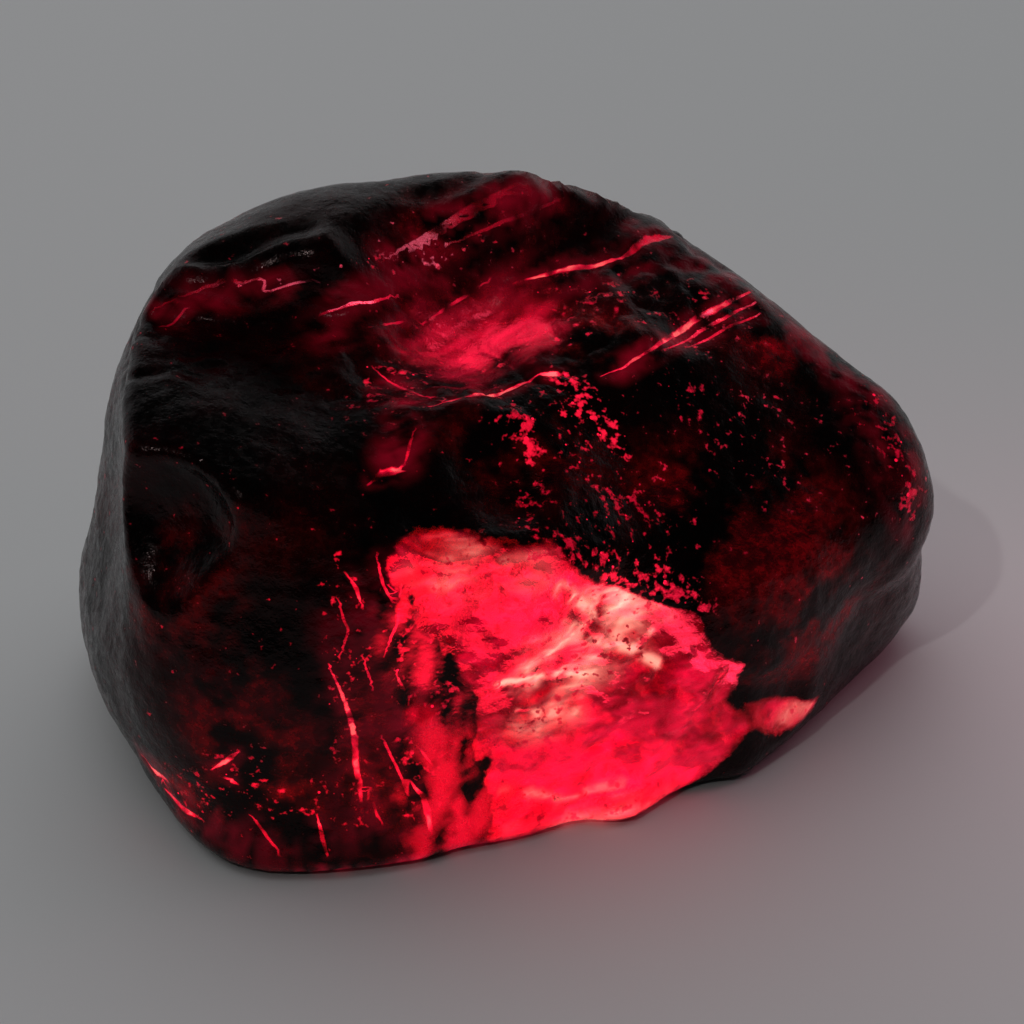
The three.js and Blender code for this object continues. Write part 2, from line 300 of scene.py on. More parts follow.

# Each crack line, where lines that lie close together run in opposite ways: the points it passes, its half width at
# its start and its end, and the strength of the painted glow along it.
CRACK_LINES = {
    "slab_foot": (((0.3, 2.6, 10.1), (1.4, 2.9, 10.3), (2.8, 3.5, 10.3)), 0.09, 0.12, 1.0),
    "slab_end": (((2.8, 3.5, 10.3), (3.4, 4.2, 10.4), (3.9, 4.6, 10.2)), 0.1, 0.22, 0.6),
    "fan": (((2.3, -0.1, 9.3), (3.4, 0.7, 9.5), (4.6, 2.2, 9.5), (5.8, 3.3, 9.4)), 0.05, 0.14, 0.9),
    "fan_middle": (((5.9, 3.0, 9.3), (4.9, 2.1, 9.4), (3.8, 0.9, 9.4)), 0.08, 0.04, 0.7),
    "fan_low": (((4.3, 1.3, 9.2), (5.3, 2.1, 9.3), (6.0, 2.7, 9.2)), 0.04, 0.07, 0.6),
    "lip": (((-1.6, -1.9, 9.7), (-1.0, -1.6, 9.7), (-0.3, -1.1, 9.5), (0.3, -0.7, 9.4), (0.8, -0.3, 9.5)), 0.04, 0.08, 0.9),
    "lip_end": (((0.8, -0.3, 9.5), (1.2, -0.3, 9.5), (1.5, -0.3, 9.4)), 0.12, 0.08, 1.0),
    "below_glow": (((-2.9, -0.4, 9.7), (-2.3, -0.9, 9.5), (-1.3, -1.6, 9.7)), 0.05, 0.05, 0.5),
    "foot_thread": (((-4.2, 1.0, 10.3), (-3.2, 1.1, 10.5), (-2.5, 1.6, 10.4)), 0.04, 0.05, 0.7),
    "thread_left": (((-3.0, 0.7, 10.1), (-2.0, 1.4, 9.9)), 0.05, 0.05, 0.6),
    "thread_right": (((-2.0, 1.2, 9.8), (-1.3, 1.9, 9.9), (-0.4, 2.6, 10.2)), 0.06, 0.05, 0.6),
    "foot_left": (((-5.4, 1.0, 10.9), (-4.3, 1.1, 11.0)), 0.04, 0.04, 0.2),
    "foot_far_left": (((-8.0, 0.8, 10.5), (-6.6, 0.8, 11.2), (-5.4, 1.1, 11.1)), 0.04, 0.04, 0.18),
    "foot_corner": (((-7.8, 0.5, 10.3), (-7.3, 0.8, 10.5)), 0.04, 0.04, 0.3),
    "slab_upper": (((-2.8, 2.0, 11.1), (-1.3, 3.3, 11.4), (0.0, 3.9, 11.9), (1.6, 4.8, 12.0)), 0.06, 0.12, 0.2),
    "slab_between": (((0.9, 4.3, 11.75), (-0.6, 3.5, 11.5), (-2.0, 2.6, 11.1)), 0.06, 0.04, 0.2),
    "slab_lower": (((-1.3, 3.1, 10.9), (0.0, 3.4, 11.3), (1.5, 4.2, 11.5)), 0.05, 0.08, 0.2),
    "wedge": (((-2.9, -4.0, 9.0), (-2.6, -3.7, 9.1), (-2.2, -3.6, 9.1)), 0.08, 0.18, 1.0),
    "wedge_up": (((-2.2, -3.5, 9.1), (-2.0, -2.7, 9.5)), 0.06, 0.05, 0.4),
    "arc_top": (((-2.7, -5.5, 8.0), (-2.6, -5.7, 7.5), (-2.3, -5.9, 6.9)), 0.05, 0.05, 0.7),
    "arc_far": (((-3.6, -5.9, 7.2), (-3.4, -6.1, 6.5), (-3.6, -6.3, 5.9)), 0.04, 0.04, 0.35),
    "arc_bow": (((-2.4, -5.9, 5.2), (-2.1, -5.8, 4.4), (-2.2, -6.1, 3.9)), 0.05, 0.04, 0.8),
    "arc_right": (((-2.2, -5.7, 7.5), (-2.3, -5.9, 6.5), (-2.6, -6.0, 5.8)), 0.06, 0.05, 0.6),
    "arc_left": (((-3.4, -5.7, 7.7), (-3.2, -5.8, 7.4), (-3.1, -5.9, 7.1)), 0.07, 0.06, 0.9),
    "arc_long": (((-3.8, -6.3, 5.6), (-3.5, -6.4, 4.6), (-3.3, -6.3, 3.6), (-3.2, -6.5, 1.8)), 0.06, 0.14, 0.9),
    "arc_middle": (((-3.1, -6.2, 5.8), (-2.9, -6.2, 5.0)), 0.04, 0.04, 0.5),
    "arc_low_left": (((-2.7, -6.2, 3.5), (-2.4, -6.2, 2.7), (-2.2, -6.3, 2.1)), 0.05, 0.04, 0.6),
    "arc_low": (((-3.0, -6.4, 2.2), (-2.8, -6.6, 1.4)), 0.05, 0.04, 0.5),
    "arc_low_right": (((-1.9, -6.1, 3.2), (-1.6, -6.1, 2.7)), 0.06, 0.05, 0.6),
    "arc_foot": (((-2.1, -6.2, 2.3), (-1.8, -6.2, 1.9), (-1.6, -6.3, 0.8)), 0.08, 0.12, 0.9),
    "foot_tick": (((-4.2, -6.7, 1.6), (-4.0, -6.9, 0.8)), 0.06, 0.08, 0.9),
    "corner_upper": (((-8.4, -4.5, 1.6), (-8.1, -4.7, 1.4), (-7.7, -5.3, 1.6)), 0.1, 0.12, 0.9),
    "corner_lower": (((-7.7, -5.2, 1.2), (-7.4, -5.7, 1.1), (-6.9, -6.1, 1.1)), 0.12, 0.1, 0.9),
    "corner_dots": (((-6.5, -6.3, 2.8), (-6.0, -6.4, 3.3)), 0.08, 0.12, 1.0),
    "corner_dot": (((-6.2, -6.4, 2.5), (-6.1, -6.4, 2.45)), 0.1, 0.08, 0.8),
    "foot_line": (((-5.7, -6.6, 1.6), (-5.1, -6.9, 0.8)), 0.04, 0.05, 0.5),
}

# Painted hot spots, where the window's painted glow is brightest: middle, half size along X, Y and Z, and how bright.
PAINTED_HOT_SPOTS = (
    ((2.7, -4.5, 5.4), (1.7, 1.6, 1.2), 1.0),
    ((1.4, -4.8, 4.6), (1.6, 1.2, 1.2), 0.85),
    ((0.8, -5.0, 3.2), (1.2, 1.0, 0.7), 0.5),
    ((-0.6, -5.2, 7.4), (2.0, 1.2, 0.9), 0.45),
    ((2.0, -5.0, 0.4), (2.4, 1.5, 0.5), 0.4),
    ((6.9, -2.5, 1.2), (0.8, 1.0, 0.5), 0.45),
)

# Painted pale streaks of glow in the window: a path, how far they spread, and how bright they are.
PAINTED_PALE_STREAKS = {
    "middle": (((-0.1, -5.4, 4.5), (0.8, -4.9, 4.3), (1.9, -4.6, 4.1)), 0.16, 1.0),
    "lower": (((0.4, -5.2, 3.5), (1.0, -5.0, 3.3), (1.6, -4.8, 3.2)), 0.2, 0.8),
    "foot": (((0.0, -5.4, 1.4), (1.3, -5.1, 0.9), (2.7, -4.8, 1.1)), 0.14, 0.5),
    "right": (((2.2, -4.4, 4.9), (2.9, -4.1, 4.5), (3.5, -4.0, 4.0)), 0.2, 0.9),
    "top": (((1.3, -4.9, 6.7), (2.2, -4.2, 5.5), (3.3, -3.8, 4.8)), 0.22, 0.9),
}

# Places where the dark skin is thin, which also get a faint painted glow: middle, half size along X, Y and Z, and how
# thin.
THIN_SPOTS = (
    ((-5.8, -6.4, 4.2), (1.8, 1.5, 1.6), 0.8),
    ((-7.6, -5.4, 1.4), (1.0, 1.0, 1.0), 1.3),
    ((-5.6, -6.6, 1.8), (1.6, 1.0, 1.2), 0.9),
    ((-2.4, -6.2, 3.5), (1.4, 1.2, 2.6), 0.5),
    ((6.8, 2.4, 9.0), (2.2, 1.6, 1.2), 0.6),
    ((7.4, -2.4, 4.0), (2.4, 2.0, 2.2), 0.5),
    ((-7.0, -5.0, 6.4), (2.2, 2.0, 1.8), 0.25),
    ((9.2, 0.6, 6.6), (0.9, 1.2, 1.4), 0.6),
    ((5.5, -2.0, 6.5), (3.4, 2.4, 2.6), 0.5),
    ((0.6, -2.6, 8.8), (2.4, 2.0, 1.6), 0.3),
    ((-0.3, 3.4, 11.3), (2.6, 1.6, 1.0), 0.5),
    ((0.0, 1.2, 9.8), (3.4, 1.8, 1.0), 1.0),
    ((-3.0, 6.9, 6.0), (4.0, 1.5, 4.0), 0.5),
    ((5.5, 6.2, 4.0), (4.0, 2.5, 3.5), 0.45),
)

# Where flecks lie under the skin, which clear the skin and carry painted glow: a path, how far they spread from it,
# and how many there are.
FLECK_TRAILS = {
    "chain": (((0.5, -1.6, 9.3), (0.7, -2.4, 8.8), (0.6, -3.2, 8.2), (0.6, -4.3, 7.9)), 0.45, 0.9),
    "upper_chain": (((1.4, -0.5, 9.4), (2.0, -1.0, 8.9), (2.5, -1.7, 8.3)), 0.6, 0.72),
    "lower_chain": (((1.6, -2.6, 8.3), (2.2, -2.7, 7.9), (2.8, -2.6, 7.5)), 0.4, 0.8),
    "shoulder_dots": (((3.8, 0.4, 9.1), (4.5, -0.4, 8.2), (5.3, -1.3, 7.3)), 0.6, 0.35),
    "window_rim": (((1.3, -4.4, 7.6), (2.2, -4.2, 6.9), (3.3, -3.7, 6.1), (4.5, -3.5, 5.4)), 0.55, 0.72),
    "right_nose": (((8.6, 1.3, 7.4), (9.2, 0.6, 6.8), (9.7, 0.1, 5.6)), 0.8, 0.7),
    "terrace": (((-3.0, -1.5, 9.8), (-1.0, 0.5, 9.5), (1.5, 2.0, 9.9), (4.5, 2.5, 9.4)), 1.3, 0.45),
    "left_foot": (((-7.5, -5.4, 1.6), (-6.0, -6.3, 2.6), (-4.2, -6.6, 2.2)), 1.0, 0.4),
    "window_left": (((-2.0, -5.8, 6.4), (-1.6, -6.0, 4.0), (-1.6, -6.2, 1.5)), 0.9, 0.6),
    "shoulder": (((0.8, -1.6, 9.0), (1.6, -2.8, 8.2), (3.0, -3.0, 7.2)), 1.9, 0.42),
    "right_side": (((5.0, 0.5, 8.8), (6.6, -0.6, 7.4)), 1.7, 0.3),
    "slab": (((-3.0, 1.8, 10.9), (0.3, 3.4, 11.0)), 0.8, 0.32),
    "left_lines": (((-3.4, -5.7, 7.7), (-3.5, -6.3, 4.6), (-3.2, -6.4, 1.6)), 0.6, 0.4),
}


# Wide, faint streaks of painted glow under the skin: a path, how far they spread, and how brightly they show.
PAINTED_SMEARS = {
    "slab_diagonal": (((-2.4, 2.2, 11.1), (-0.6, 3.4, 11.5), (1.9, 4.8, 12.0)), 0.75, 0.13),
    "slab_foot": (((-8.0, 0.8, 10.6), (-5.4, 1.1, 11.0), (-2.5, 1.6, 10.6), (0.3, 2.6, 10.1)), 0.45, 0.09),
    "terrace_back": (((-3.8, 0.6, 10.1), (-1.6, 1.7, 9.9), (1.0, 2.7, 9.9), (3.0, 3.4, 9.9)), 0.9, 0.08),
    "wedge_rise": (((-2.4, -3.4, 9.2), (-2.1, -2.4, 9.5), (-2.5, -0.9, 9.7)), 0.6, 0.14),
    "right_edge": (((3.2, 4.4, 10.4), (5.2, 3.8, 9.6), (7.2, 2.6, 8.8), (8.8, 1.9, 7.8)), 0.8, 0.07),
    "fan": (((2.6, 0.1, 9.3), (4.0, 1.3, 9.5), (5.8, 3.0, 9.4)), 0.4, 0.14),
    "nose": (((8.6, 1.3, 7.4), (9.3, 0.4, 6.5), (9.7, 0.0, 5.4)), 0.9, 0.06),
    "window_left": (((-1.9, -5.6, 7.0), (-1.5, -6.0, 4.4), (-1.2, -6.1, 2.2), (-1.2, -6.1, 0.3)), 1.1, 0.22),
    "far_left": (((-3.3, -6.0, 6.6), (-3.4, -6.3, 4.0), (-3.0, -6.5, 1.2)), 0.9, 0.07),
    "foot": (((-4.4, -7.0, 0.15), (-2.0, -6.6, 0.15), (0.0, -6.3, 0.15)), 0.25, 0.35),
    "corner": (((-8.2, -4.7, 1.7), (-7.0, -6.0, 1.2), (-5.2, -6.8, 0.7)), 0.6, 0.08),
}


def laid_on_skin(path):
    """Close-set points along a path, moved onto the skin, and the share of the path before each of them."""
    path = np.array(path, float)
    before = np.concatenate([[0], np.cumsum(np.linalg.norm(np.diff(path, axis=0), axis=1))])
    walked = np.linspace(0, before[-1], max(int(before[-1] / TRAIL_STEP), 2))
    places = np.stack([np.interp(walked, before, path[:, axis]) for axis in range(3)], 1)
    for _ in range(3):
        places = to_skin(places)
    return places, walked / before[-1]


def nearest_in(trails, points):
    """For each point its distance to the nearest place on the trails, and that place's number."""
    tree = kdtree.KDTree(len(trails))
    for number, place in enumerate(trails):
        tree.insert(place, number)
    tree.balance()
    found = [tree.find(point) for point in points]
    return np.array([away for _, _, away in found]), np.array([number for _, number, _ in found])


def inside_outline(outline, flat):
    """Distance to a closed outline, positive inside it. Both are in the same flat coordinates."""
    corners = np.array(outline)
    nearest = np.full(len(flat), FAR)
    crossings = np.zeros(len(flat), int)
    for start, end in zip(corners, np.roll(corners, -1, axis=0)):
        way = end - start
        share = np.clip((flat - start) @ way / (way @ way), 0, 1)
        nearest = np.minimum(nearest, np.linalg.norm(flat - start - share[:, None] * way, axis=1))
        spans = (start[1] > flat[:, 1]) != (end[1] > flat[:, 1])
        level = np.where(spans, (flat[:, 1] - start[1]) / (way[1] if way[1] else 1), 0)
        crossings += spans & (flat[:, 0] < start[0] + level * way[0])
    return np.where(crossings % 2 == 1, nearest, -nearest)


def cloud(points, size, seed, octaves=4):
    """Smooth noise between about -1 and 1, with lumps of this size in millimetres."""
    offset = Vector((seed * 17.3, seed * 5.1, seed * 9.7))
    return np.array([noise.fractal(Vector(p) / size + offset, 1.0, 2.0, octaves) for p in points])


def gentle(values, low, high):
    """0 below low, 1 above high, and a smooth step between them."""
    share = np.clip((values - low) / (high - low), 0, 1)
    return share * share * (3 - 2 * share)


def combed(points, way, size, seed):
    """Noise whose lumps are drawn out along a direction."""
    along = (points @ unit(way))[:, None] * unit(way)
    return cloud(COMB_WIDE * (points - along) + COMB_LONG * along, size, seed)


def front_window(points):
    """Distance inside the fresh fracture at the front, in millimetres, negative outside it."""
    flat = points[:, (0, 2)] + 0.16 * np.stack([cloud(points, 1.5, 1), cloud(points, 1.5, 2)], 1)
    flat[:, 0] += 0.38 * (1 - gentle(points[:, 0], -0.6, 1.0)) * combed(points, UPRIGHT, 0.8, 10)
    distance = np.maximum(inside_outline(WINDOW_OUTLINE, flat), inside_outline(CHIP_OUTLINE, flat))
    return np.where(points[:, 1] < -1.0, distance, -1.0)


def front_veil(points):
    flat = points[:, (0, 2)] + 0.3 * np.stack([cloud(points, 0.9, 8), cloud(points, 0.9, 9)], 1)
    return np.where(points[:, 1] < -1.0, inside_outline(VEIL_OUTLINE, flat), -1.0)


def terrace_patch(points):
    flat = points[:, :2] + 0.25 * np.stack([cloud(points, 0.9, 3), cloud(points, 0.9, 4)], 1)
    return np.where(points[:, 2] > 8.5, inside_outline(TERRACE_OUTLINE, flat), -1.0)


def crack_lines(points, outward):
    """For each point: how far inside the nearest crack line it lies, its place across that line, where 1 and -1
    are the borders, and the strength of the line's painted glow.
    """
    moved = points + 0.06 * np.stack([cloud(points, 1.0, seed) for seed in (5, 6, 7)], 1)
    places, ways, widths, painted_glow_strengths = [], [], [], []
    for path, start_width, end_width, painted_glow_strength in CRACK_LINES.values():
        laid, share = laid_on_skin(path)
        taper = np.sqrt(np.sin(np.pi * np.clip(share, 0.04, 0.96)))
        places.append(laid)
        ways.append(np.gradient(laid, axis=0))
        widths.append(LINE_SHARE * taper * (start_width + share * (end_width - start_width)))
        painted_glow_strengths.append(painted_glow_strength * (0.5 + 0.5 * taper))
    places, ways, widths = np.concatenate(places), np.concatenate(ways), np.concatenate(widths)
    away, number = nearest_in(places, moved)
    sideways = np.cross(ways[number], outward)
    sideways /= np.linalg.norm(sideways, axis=1)[:, None] + TINY
    across = ((moved - places[number]) * sideways).sum(1) / widths[number]
    return widths[number] - away, np.clip(across, -4, 4), np.concatenate(painted_glow_strengths)[number]


def near_trails(points, trails):
    """The amount of each trail along its middle, fading to nothing where it has spread out."""
    share = np.zeros(len(points))
    for path, spread, amount in trails.values():
        away, _ = nearest_in(laid_on_skin(path)[0], points)
        share = np.maximum(share, amount * (1 - gentle(away / spread, 0.2, 1.4)))
    return share


def near_spots(points, spots, least=0.0):
    """The amount of each spot in its middle, fading to nothing at its edge."""
    share = np.full(len(points), least)
    for at, reach, amount in spots:
        away = np.linalg.norm((points - np.array(at)) / np.array(reach), axis=1)
        share = np.maximum(share, amount * (1 - gentle(away, 0.4, 1.25)))
    return share


def skin_fields(points, outward):
    """What the material needs to know at each point of the skin."""
    broad, middle, grain = cloud(points, 2.2, 21, 5), cloud(points, 0.9, 22), cloud(points, 0.4, 23, 3)
    upright, level, slant = combed(points, UPRIGHT, 0.8, 24), combed(points, LEVEL, 0.9, 25), combed(points, SLANT, 0.8, 26)
    on_top = gentle(points[:, 2], 8.2, 9.0)
    streaks = upright + on_top * (slant - upright)
    window = front_window(points)
    patch = terrace_patch(points) + 0.45 * slant
    line, across, crack_and_painted_glow = crack_lines(points, outward)
    crack_and_painted_glow = crack_and_painted_glow * gentle(grain + 0.5 * middle, -0.5, 0.25)
    behind = gentle(outward[:, 1] - 0.3 * outward[:, 2], 0.1, 0.4) * (0.02 + 0.12 * gentle(broad + 0.5 * grain, -0.45, 0.3))
    veil = gentle(front_veil(points) + 0.3 * upright, -0.4, 0.4) * gentle(upright + 0.4 * grain, -0.3, 0.5)
    thin = near_spots(points, THIN_SPOTS, 0.06) * gentle(broad + 0.3 * grain, -0.3, 0.35)
    painted_smear = near_trails(points, PAINTED_SMEARS) * gentle(streaks + 0.5 * grain, -0.45, 0.6)
    # Painted glow for the window: a faint fill with streaks, painted hot spots and painted pale streaks.
    painted_facet_streaks = (1 - np.abs(combed(points, LEVEL, 0.8, 27))) ** 8 * gentle(middle, -0.4, 0.3)
    painted_window_glow = 0.08 + 0.4 * gentle(0.6 * level + 0.4 * broad + 0.4 * grain, -0.35, 0.55) + 0.3 * painted_facet_streaks
    painted_hotspot = near_spots(points, PAINTED_HOT_SPOTS) * (0.85 * gentle(0.6 * level + 0.5 * middle, -0.6, 0.5) + 0.5 * painted_facet_streaks)
    painted_hotspot = np.maximum(painted_hotspot, near_trails(points, PAINTED_PALE_STREAKS) * gentle(grain, -0.6, 0.2))
    # Painted glow on the terrace patch.
    core = gentle(patch, -0.9, 0.9) ** 2 * (0.25 + 0.75 * gentle(slant + 0.4 * grain, -0.5, 0.4))
    painted_glow = np.maximum(0.42 * core, gentle(window, -0.05, 0.15) * painted_window_glow)
    painted_glow = np.maximum(painted_glow, 0.08 * crack_and_painted_glow * gentle(line, -0.35, 0.0))
    return {
        "window": window,
        "line": line,
        "across": across,
        "crack_and_painted_glow": crack_and_painted_glow,
        "fleck": near_trails(points, FLECK_TRAILS) * (0.5 + 0.5 * gentle(middle, -0.3, 0.2)),
        "thin": thin,
        "bare": np.maximum(np.maximum(behind, 0.4 * veil), 0.35 * gentle(patch, -0.3, 0.5)),
        # The thin spots add a faint painted glow.
        "painted_glow": np.maximum(painted_glow, painted_smear) + 0.03 * thin,
        "painted_hotspot": painted_hotspot,
    }


def relief(points, window, lines):
    """Height of the fine unevenness above the smooth form, in millimetres."""
    height = 0.045 * cloud(points, 1.2, 11) + 0.012 * cloud(points, 0.3, 12, 3)
    fresh = gentle(window, 0.0, 0.3)
    shells = np.sin(2 * np.pi * (np.linalg.norm(points - np.array([1.0, -9.0, 7.5]), axis=1) / 0.9 + cloud(points, 1.5, 13)))
    height += fresh * (0.09 * cloud(points, 1.1, 14) + 0.03 * shells + 0.035 * cloud(points, 0.4, 15, 3))
    height -= 0.05 * gentle(lines, -0.08, 0.05)
    slab = gentle(points[:, 2], 10.6, 11.2) * gentle(points[:, 0], -4.0, -2.0)
    across = points @ unit((0.5, -0.8, 0.1)) / 0.8 + 0.5 * cloud(points, 2.0, 16)
    height += slab * 0.05 * (2 * np.abs(across % 1 - 0.5) - 0.5)
    broken = gentle(points[:, 2], 9.1, 9.5) * gentle(points[:, 1], -2.2, -1.2) * (1 - gentle(points[:, 2], 10.3, 10.8))
    height -= broken * 0.12 * (1 - np.abs(cloud(points, 1.6, 17, 3))) ** 4
    return height


def add_relief(bm, points, height):
    """Moves the skin outwards by its relief. The base keeps a thin gap over the floor between its high points."""
    bm.normal_update()
    fade = np.clip(points[:, 2] / 0.6, 0, 1)
    gap = np.maximum(0.04 * (1 - fade) * (0.6 + cloud(points, 1.6, 18, 1)), 0)
    for v, rise, lift in zip(bm.verts, height * fade, gap):
        v.co += v.normal * rise + Vector((0, 0, lift))


# ---------------------------------------------------------------- materials


def new_material(name):
    material = bpy.data.materials.new(name)
    material.use_nodes = True
    material.cycles.emission_sampling = "NONE"
    material.node_tree.nodes.clear()
    return material, material.node_tree.nodes, material.node_tree.links


def attribute(nodes, name):
    node = nodes.new("ShaderNodeAttribute")
    node.attribute_name = name
    return node.outputs["Fac"]


def ramp(nodes, links, value, low, high, to_low=0.0, to_high=1.0):
    node = nodes.new("ShaderNodeMapRange")
    node.interpolation_type = "SMOOTHSTEP"
    links.new(value, node.inputs["Value"])
    node.inputs["From Min"].default_value = low
    node.inputs["From Max"].default_value = high
    node.inputs["To Min"].default_value = to_low
    node.inputs["To Max"].default_value = to_high
    return node.outputs["Result"]


def blend(nodes, links, share, first, second):
    node = nodes.new("ShaderNodeMix")
    node.data_type = "RGBA"
    links.new(share, node.inputs[0])
    for socket, value in ((node.inputs[6], first), (node.inputs[7], second)):
        if isinstance(value, tuple):
            socket.default_value = value
        else:
            links.new(value, socket)
    return node.outputs[2]


def sum_of(nodes, links, a, b, operation="ADD"):
    node = nodes.new("ShaderNodeMath")
    node.operation = operation
    for socket, value in ((node.inputs[0], a), (node.inputs[1], b)):
        if isinstance(value, float):
            socket.default_value = value
        else:
            links.new(value, socket)
    return node.outputs[0]


def texture(nodes, links, place, size, detail, roughness):
    """Smooth noise around 0.5 whose lumps have this size in millimetres."""
    node = nodes.new("ShaderNodeTexNoise")
    links.new(place, node.inputs["Vector"])
    node.inputs["Scale"].default_value = 1 / (size * MM)
    node.inputs["Detail"].default_value = detail
    node.inputs["Roughness"].default_value = roughness
    return node.outputs["Fac"]


def stirred(nodes, links, value, wave, height):
    """The value, moved up and down by a noise around 0.5."""
    swing = sum_of(nodes, links, sum_of(nodes, links, wave, -0.5), height, "MULTIPLY")
    return sum_of(nodes, links, value, swing)


def round_flecks(nodes, links, place, size, share):
    """Small flecks of uneven strength in cells of this size, which the material uses as clear skin and as painted
    glow. The share says how many cells have one.
    """
    cells = nodes.new("ShaderNodeTexVoronoi")
    links.new(place, cells.inputs["Vector"])
    cells.inputs["Scale"].default_value = 1 / (size * MM)
    chance = nodes.new("ShaderNodeSeparateXYZ")
    links.new(cells.outputs["Color"], chance.inputs[0])
    radius = sum_of(nodes, links, sum_of(nodes, links, share, chance.outputs["X"], "SUBTRACT"), 0.6, "MULTIPLY")
    mask = ramp(nodes, links, sum_of(nodes, links, radius, cells.outputs["Distance"], "SUBTRACT"), -0.02, 0.08)
    return sum_of(nodes, links, mask, ramp(nodes, links, chance.outputs["Y"], 0.2, 1.0, 0.15, 1.0), "MULTIPLY")


def ruby_material(settings):
    material, nodes, links = new_material("clear_ruby")
    place = nodes.new("ShaderNodeTexCoord").outputs["Object"]
    fine = texture(nodes, links, place, 0.22, 2.0, 0.6)

    fresh = ramp(nodes, links, stirred(nodes, links, attribute(nodes, "window"), fine, 0.3), -0.06, 0.08)
    pitted = sum_of(nodes, links, fresh, ramp(nodes, links, fine, 0.33, 0.42, 0.25, 1.0), "MULTIPLY")

    off = sum_of(nodes, links, attribute(nodes, "across"), 0.0, "ABSOLUTE")
    crack = ramp(nodes, links, stirred(nodes, links, off, fine, 1.2), 0.6, 1.2, 1.0, 0.0)
    crack = sum_of(nodes, links, crack, ramp(nodes, links, attribute(nodes, "line"), -0.14, -0.04), "MULTIPLY")
    crack = sum_of(nodes, links, crack, attribute(nodes, "crack_and_painted_glow"), "MULTIPLY")

    fleck = attribute(nodes, "fleck")
    blots = sum_of(nodes, links, fine, sum_of(nodes, links, fleck, 0.3, "MULTIPLY"))
    blots = ramp(nodes, links, blots, 0.69, 0.85, 0.0, 0.4)
    dots = round_flecks(nodes, links, place, 0.15, fleck)
    frost_and_painted_glow = sum_of(nodes, links, crack, sum_of(nodes, links, blots, dots, "MAXIMUM"), "MAXIMUM")

    thin = sum_of(nodes, links, attribute(nodes, "thin"), ramp(nodes, links, fine, 0.35, 0.65, 0.4, 1.4), "MULTIPLY")
    let_through = blend(nodes, links, thin, (*settings.skin_colour, 1), (*settings.thin_skin_colour, 1))
    squared = nodes.new("ShaderNodeVectorMath")
    squared.operation = "MULTIPLY"
    links.new(let_through, squared.inputs[0])
    links.new(let_through, squared.inputs[1])
    clear = sum_of(nodes, links, sum_of(nodes, links, pitted, attribute(nodes, "bare"), "MAXIMUM"), frost_and_painted_glow, "MAXIMUM")
    tint = blend(nodes, links, clear, squared.outputs[0], (1.0, 0.9, 0.92, 1))
    worn = ramp(nodes, links, fine, 0.3, 0.7, 0.15, 0.34)
    glassy = sum_of(nodes, links, fresh, frost_and_painted_glow, "MAXIMUM")
    rough = blend(nodes, links, glassy, worn, (0.05, 0.05, 0.05, 1))

    bump = nodes.new("ShaderNodeBump")
    bump.inputs["Distance"].default_value = 0.035 * MM
    bump.inputs["Strength"].default_value = 0.6
    links.new(texture(nodes, links, place, 0.16, 2.0, 0.7), bump.inputs["Height"])

    shader = nodes.new("ShaderNodeBsdfPrincipled")
    shader.inputs["IOR"].default_value = settings.ior
    shader.inputs["Transmission Weight"].default_value = 1.0
    shader.inputs["Specular Tint"].default_value = (*settings.sheen_colour, 1)
    links.new(tint, shader.inputs["Base Color"])
    links.new(rough, shader.inputs["Roughness"])
    links.new(bump.outputs["Normal"], shader.inputs["Normal"])

    # Painted glow: emission at the window, the terrace patch, cracks, flecks, smears and thin spots, standing in for
    # light from inside the stone.
    painted_hotspot = sum_of(nodes, links, pitted, attribute(nodes, "painted_hotspot"), "MULTIPLY")
    crack_and_painted_glow = sum_of(nodes, links, frost_and_painted_glow, settings.painted_crack_glow, "MULTIPLY")
    crack_and_painted_glow = sum_of(nodes, links, crack_and_painted_glow, attribute(nodes, "painted_glow"), "MAXIMUM")
    links.new(sum_of(nodes, links, crack_and_painted_glow, painted_hotspot, "MAXIMUM"), shader.inputs["Emission Strength"])
    painted_pale_share = sum_of(nodes, links, painted_hotspot, ramp(nodes, links, crack, 0.5, 1.2, 0.0, 0.6), "MAXIMUM")
    painted_glow = blend(nodes, links, painted_pale_share, (*settings.painted_glow_colour, 1), (*settings.painted_hot_colour, 1))
    links.new(painted_glow, shader.inputs["Emission Color"])

    inside = nodes.new("ShaderNodeVolumeAbsorption")
    inside.inputs["Color"].default_value = (*settings.depth_colour, 1)
    inside.inputs["Density"].default_value = settings.depth_density
    out = nodes.new("ShaderNodeOutputMaterial")
    links.new(shader.outputs["BSDF"], out.inputs["Surface"])
    links.new(inside.outputs["Volume"], out.inputs["Volume"])
    return material


def floor_material(settings):
    material, nodes, links = new_material("pale_floor")
    out = nodes.new("ShaderNodeOutputMaterial")
    shader = nodes.new("ShaderNodeBsdfPrincipled")
    shader.inputs["Base Color"].default_value = (*settings.floor_colour, 1)
    shader.inputs["Roughness"].default_value = 0.85
    links.new(shader.outputs["BSDF"], out.inputs["Surface"])
    return material


# ---------------------------------------------------------------- settings


